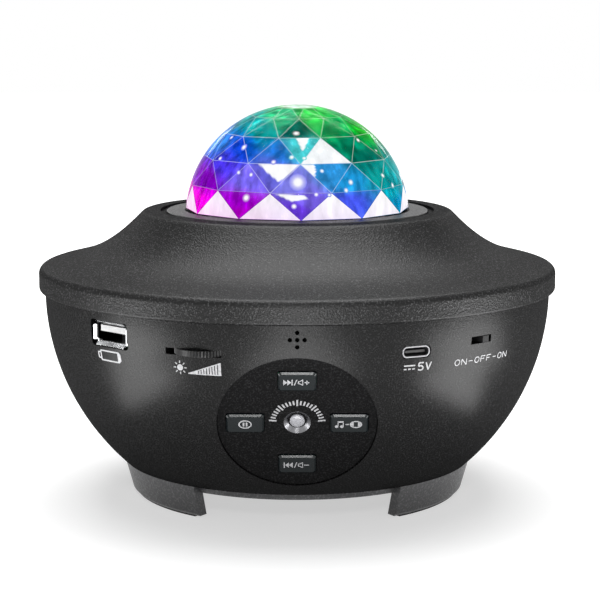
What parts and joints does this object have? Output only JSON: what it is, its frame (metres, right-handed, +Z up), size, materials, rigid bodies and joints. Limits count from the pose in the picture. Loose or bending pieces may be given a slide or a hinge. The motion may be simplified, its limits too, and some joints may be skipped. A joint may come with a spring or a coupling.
{
  "type": "star night light projector",
  "caption": "Bowl-shaped night light projector with a flared lid, a faceted crystal dome, a round key panel, USB ports, a dial and a slide switch, on three feet.",
  "frame": {"origin": "centre of the object on the table, at the underside of the rubber pads", "axes": "+Z up, the key panel faces -Y, +X to the right seen from the front"},
  "size_m": [0.167, 0.167, 0.125],
  "materials": {
    "casing": "spark-textured",
    "ring": "fine matt",
    "base": "matt",
    "pads": "matt",
    "panel": "satin",
    "keys": "silicone rubber",
    "crystal": "clear moulded",
    "dark_plastic": "matt",
    "clear": "clear",
    "steel": "plain",
    "sink": "plain",
    "brass": "plain",
    "pcb": "solder mask",
    "pcb_white": "solder mask",
    "chips": "matt",
    "white_plastic": "satin",
    "cone": "pressed paper",
    "magnet": "plain",
    "ir_clear": "clear"
  },
  "bodies": {
    "casing": {"foot_pads": "pads", "base_cover": "base", "bowl_body": "casing", "top_cover": "casing", "dome_ring": "ring", "crystal_dome": "crystal", "optics_housing": "dark_plastic", "heat_sink": "sink", "led_board": "pcb_white", "leds": "white_plastic", "led_lens": "clear", "laser_module": "brass", "laser_grating": "clear", "lens_bridge": "dark_plastic", "wheel_clip": "steel", "drive_motor": "steel", "speaker_frame": "steel", "speaker_cone": "cone", "speaker_magnet": "magnet", "main_board": "pcb", "board_parts": "chips", "usb_a_shell": "steel", "usb_a_tongue": "white_plastic", "usb_c_shell": "steel", "usb_c_tongue": "chips", "dial_pot": "chips", "switch_body": "steel", "mic_capsule": "steel", "control_panel": "panel", "ir_lens": "ir_clear", "ir_receiver": "chips", "key_board": "pcb", "tact_switches": "chips", "base_screws": "steel", "cover_screws": "steel", "board_screws": "steel", "housing_screws": "steel", "speaker_screws": "steel", "key_board_screws": "steel", "bridge_screws": "steel"},
    "next_key": {"next_key": "keys"},
    "pause_key": {"pause_key": "keys"},
    "mode_key": {"mode_key": "keys"},
    "previous_key": {"previous_key": "keys"},
    "dial": {"brightness_dial": "panel"},
    "switch": {"switch_slider": "panel"},
    "wheel": {"effect_wheel": "clear"},
    "pinion": {"motor_shaft": "steel", "motor_pinion": "white_plastic"}
  },
  "joints": [
    {"name": "next_key_press", "type": "slide", "parent": "casing", "child": "next_key", "axis": [0, 0.9033, 0.4289], "range_m": [0, 0.0005], "stiffness_N_per_m": 3000, "springref_m": -0.0002},
    {"name": "pause_key_press", "type": "slide", "parent": "casing", "child": "pause_key", "axis": [0, 0.9033, 0.4289], "range_m": [0, 0.0005], "stiffness_N_per_m": 3000, "springref_m": -0.0002},
    {"name": "mode_key_press", "type": "slide", "parent": "casing", "child": "mode_key", "axis": [0, 0.9033, 0.4289], "range_m": [0, 0.0005], "stiffness_N_per_m": 3000, "springref_m": -0.0002},
    {"name": "previous_key_press", "type": "slide", "parent": "casing", "child": "previous_key", "axis": [0, 0.9033, 0.4289], "range_m": [0, 0.0005], "stiffness_N_per_m": 3000, "springref_m": -0.0002},
    {"name": "dial_turn", "type": "hinge", "parent": "casing", "child": "dial", "pos_m": [-0.02716, -0.06965, 0.0575], "axis": [0, 0, 1], "range_deg": [-135, 135]},
    {"name": "switch_slide", "type": "slide", "parent": "casing", "child": "switch", "axis": [0.742, 0.6704, 0], "range_m": [-0.0032, 0]},
    {"name": "wheel_spin", "type": "hinge", "parent": "casing", "child": "wheel", "pos_m": [0, 0, 0.0754], "axis": [0, 0, 1], "continuous": true},
    {"name": "pinion_spin", "type": "hinge", "parent": "casing", "child": "pinion", "pos_m": [0, 0.0324, 0.0754], "axis": [0, 0, 1], "continuous": true}
  ],
  "couplings": [
    {"joint": "pinion_spin", "follows": "wheel_spin", "ratio": -5}
  ]
}
